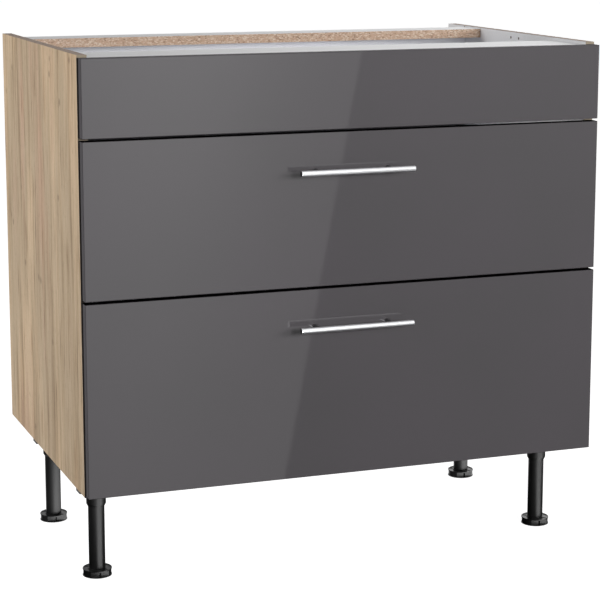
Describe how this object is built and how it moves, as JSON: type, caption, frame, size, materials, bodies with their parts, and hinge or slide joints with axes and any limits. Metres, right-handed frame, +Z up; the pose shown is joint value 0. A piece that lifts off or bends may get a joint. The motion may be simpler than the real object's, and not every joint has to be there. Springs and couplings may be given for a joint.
{
  "type": "base cabinet with drawers",
  "caption": "Kitchen base cabinet with pull-out drawers under a fixed front, open-topped for a built-in hob or sink, on height-adjustable screw-foot legs.",
  "frame": {"origin": "on the floor, under the middle of the bounding box (handles included)", "axes": "+X to the right as seen from the front, +Y from the fronts towards the wall, +Z up"},
  "size_m": [0.9, 0.619, 0.875],
  "materials": {
    "oak_laminate": "matt oak-look melamine on chipboard, upright grain; white on the inner face",
    "white_laminate": "fine-textured white melamine on chipboard",
    "grey_laminate": "dark grey melamine on chipboard, for the boards of the drawers",
    "white_hardboard": "lacquered white face on 3 mm hardboard",
    "rail_chipboard": "white melamine on chipboard, with a raw front edge",
    "gloss_anthracite": "high-gloss anthracite foil on fibreboard",
    "black_plastic": "moulded, satin",
    "polished_steel": "bright satin chrome",
    "zinc_steel": "rolled sheet, bright zinc",
    "painted_steel": "silver-grey powder coat on sheet steel"
  },
  "bodies": {
    "carcass": {"side_panel_left": "oak_laminate", "side_panel_right": "oak_laminate", "bottom_panel": "white_laminate", "back_panel": "white_hardboard", "front_rail": "white_laminate", "rear_rail": "rail_chipboard", "fixed_front": "gloss_anthracite", "fixed_front_bracket_left": "zinc_steel", "fixed_front_bracket_right": "zinc_steel", "leg_socket_front_left": "black_plastic", "leg_tube_front_left": "black_plastic", "leg_socket_front_right": "black_plastic", "leg_tube_front_right": "black_plastic", "leg_socket_rear_left": "black_plastic", "leg_tube_rear_left": "black_plastic", "leg_socket_rear_right": "black_plastic", "leg_tube_rear_right": "black_plastic", "cabinet_runner_upper_left": "zinc_steel", "cabinet_runner_upper_right": "zinc_steel", "cabinet_runner_lower_left": "zinc_steel", "cabinet_runner_lower_right": "zinc_steel"},
    "foot_front_left": {"leg_foot_front_left": "black_plastic"},
    "foot_front_right": {"leg_foot_front_right": "black_plastic"},
    "foot_rear_left": {"leg_foot_rear_left": "black_plastic"},
    "foot_rear_right": {"leg_foot_rear_right": "black_plastic"},
    "upper_drawer": {"drawer_front_upper": "gloss_anthracite", "handle_upper": "polished_steel", "drawer_bottom_upper": "grey_laminate", "drawer_back_upper": "grey_laminate", "drawer_runner_upper_left": "zinc_steel", "drawer_side_upper_left": "painted_steel", "gallery_rod_upper_left": "painted_steel", "rod_holder_upper_left": "painted_steel", "back_bracket_upper_left": "painted_steel", "drawer_runner_upper_right": "zinc_steel", "drawer_side_upper_right": "painted_steel", "gallery_rod_upper_right": "painted_steel", "rod_holder_upper_right": "painted_steel", "back_bracket_upper_right": "painted_steel"},
    "upper_middle_runners": {"middle_runner_upper_left": "zinc_steel", "middle_runner_upper_right": "zinc_steel"},
    "lower_drawer": {"drawer_front_lower": "gloss_anthracite", "handle_lower": "polished_steel", "drawer_bottom_lower": "grey_laminate", "drawer_back_lower": "grey_laminate", "drawer_runner_lower_left": "zinc_steel", "drawer_side_lower_left": "painted_steel", "gallery_rod_lower_left": "painted_steel", "rod_holder_lower_left": "painted_steel", "back_bracket_lower_left": "painted_steel", "drawer_runner_lower_right": "zinc_steel", "drawer_side_lower_right": "painted_steel", "gallery_rod_lower_right": "painted_steel", "rod_holder_lower_right": "painted_steel", "back_bracket_lower_right": "painted_steel"},
    "lower_middle_runners": {"middle_runner_lower_left": "zinc_steel", "middle_runner_lower_right": "zinc_steel"}
  },
  "joints": [
    {"name": "foot_front_left_screw", "type": "slide", "parent": "carcass", "child": "foot_front_left", "axis": [0, 0, -1], "range_m": [0, 0.02]},
    {"name": "foot_front_right_screw", "type": "slide", "parent": "carcass", "child": "foot_front_right", "axis": [0, 0, -1], "range_m": [0, 0.02]},
    {"name": "foot_rear_left_screw", "type": "slide", "parent": "carcass", "child": "foot_rear_left", "axis": [0, 0, -1], "range_m": [0, 0.02]},
    {"name": "foot_rear_right_screw", "type": "slide", "parent": "carcass", "child": "foot_rear_right", "axis": [0, 0, -1], "range_m": [0, 0.02]},
    {"name": "upper_drawer_slide", "type": "slide", "parent": "carcass", "child": "upper_drawer", "axis": [0, -1, 0], "range_m": [0, 0.43]},
    {"name": "upper_middle_runner_slide", "type": "slide", "parent": "carcass", "child": "upper_middle_runners", "axis": [0, -1, 0], "range_m": [0, 0.215]},
    {"name": "lower_drawer_slide", "type": "slide", "parent": "carcass", "child": "lower_drawer", "axis": [0, -1, 0], "range_m": [0, 0.43]},
    {"name": "lower_middle_runner_slide", "type": "slide", "parent": "carcass", "child": "lower_middle_runners", "axis": [0, -1, 0], "range_m": [0, 0.215]}
  ],
  "couplings": [
    {"joint": "upper_middle_runner_slide", "follows": "upper_drawer_slide", "ratio": 0.5},
    {"joint": "lower_middle_runner_slide", "follows": "lower_drawer_slide", "ratio": 0.5}
  ]
}
